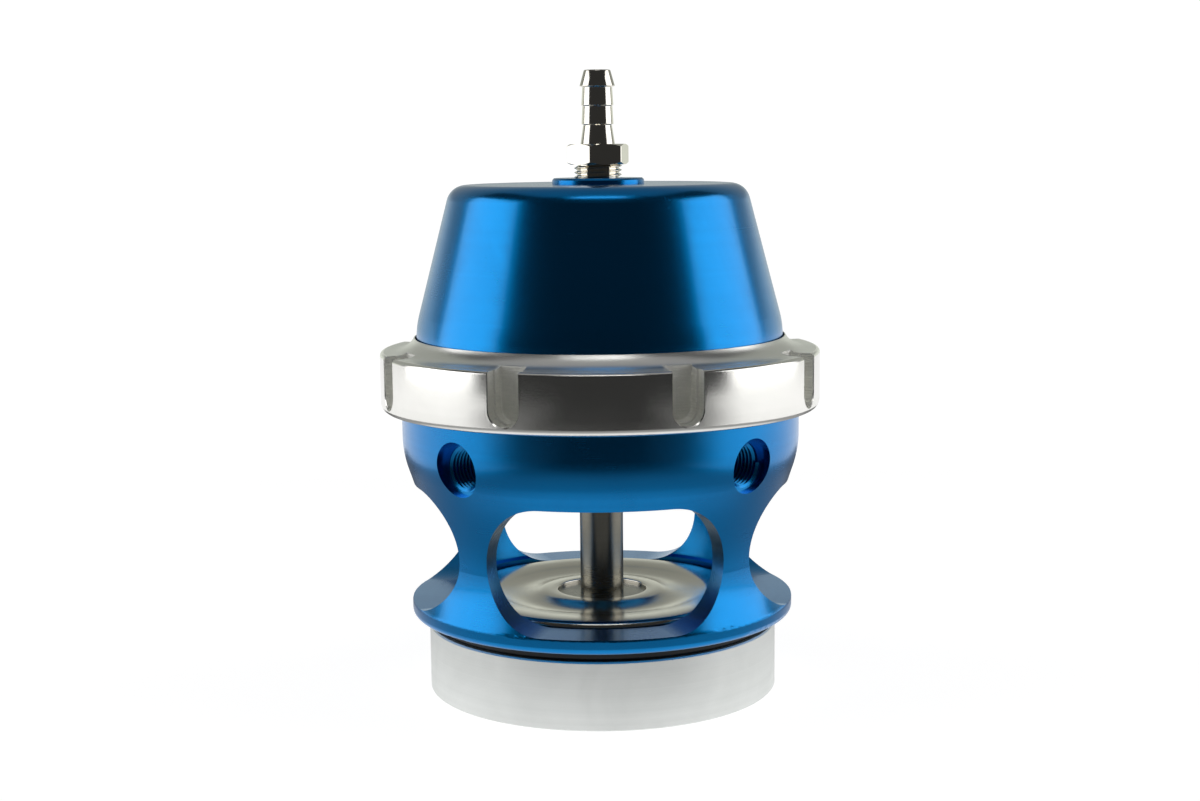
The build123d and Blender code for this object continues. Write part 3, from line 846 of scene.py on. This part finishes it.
for side in (-1, 1):
    level_sheet("table leaf", side * table_side, side * leaf_side, wing_front, wing_back, leaf_paper)
    level_sheet("table wing", side * leaf_side, side * wing_side, wing_front, wing_back, wing_paper)
level_sheet("table back", -table_side, table_side, table_back, wing_back, wing_paper)
sheet_of_paper("backdrop", (
    (-wing_side, wing_back, table_level),
    (wing_side, wing_back, table_level),
    (wing_side, wing_back, card_high),
    (-wing_side, wing_back, card_high),
), card_paper)

world = bpy.data.worlds.new("studio")
bpy.context.scene.world = world
world.use_nodes = True
room = world.node_tree
room.nodes.clear()
room_fill = 0.03
seen_directly = node(room, "LightPath").outputs["Is Camera Ray"]
room_strength = calculate(
    room, "ADD", calculate(room, "MULTIPLY", seen_directly, 1 - room_fill), room_fill
)
room_light = node(room, "Background", {"Color": (1, 1, 1, 1), "Strength": room_strength})
node(room, "OutputWorld", {"Surface": room_light.outputs[0]})


# Lamps
# One soft box on each side, from just above the table upward, a narrow one high in front, and a wide
# dim one overhead.


def soft_box(name, place, aim, width, height, brightness):
    """A rectangular lamp that faces a point, in metres. At a brightness of 1 its face is just white."""
    lamp = bpy.data.lights.new(name, "AREA")
    lamp.shape = "RECTANGLE"
    lamp.size = width
    lamp.size_y = height
    lamp.energy = brightness * pi * width * height
    made = bpy.data.objects.new(name, lamp)
    bpy.context.scene.collection.objects.link(made)
    made.location = place
    made.rotation_euler = (Vector(aim) - Vector(place)).to_track_quat("-Z", "Y").to_euler()
    made.visible_camera = False


side_reach, side_level = 0.60, 0.26
for side in (-1, 1):
    soft_box("side soft box", place=(side * side_reach, 0, side_level), aim=(0, 0, side_level),
             width=0.56, height=0.46, brightness=1.7)
soft_box("high front soft box", place=(0, -0.38, 0.74), aim=(0, 0, 0.1),
         width=0.40, height=0.13, brightness=2.2)
soft_box("ceiling soft box", place=(0, 0.1, 1.1), aim=(0, 0.1, 0), width=1.3, height=1.0, brightness=0.24)


# Camera
# Level with the cap's top and turned down a little, as in the photograph, with the valve's front window
# square to it.
camera_distance, camera_height, camera_shift = 0.4007, 0.11808, -0.00006
camera_turn, camera_pitch, camera_roll = radians(-1.3), radians(7.886), radians(-0.566)
lens = bpy.data.cameras.new("camera")
lens.sensor_width = 36
lens.lens = 55.55
lens.clip_start, lens.clip_end = 0.01, 20
camera = bpy.data.objects.new("camera", lens)
bpy.context.scene.collection.objects.link(camera)
camera.matrix_world = (
    Matrix.Rotation(camera_turn, 4, "Z")
    @ Matrix.Translation((camera_shift, -camera_distance, camera_height))
    @ Matrix.Rotation(pi / 2 - camera_pitch, 4, "X")
    @ Matrix.Rotation(camera_roll, 4, "Z")
)
bpy.context.scene.camera = camera
bpy.context.scene.view_settings.view_transform = "Standard"
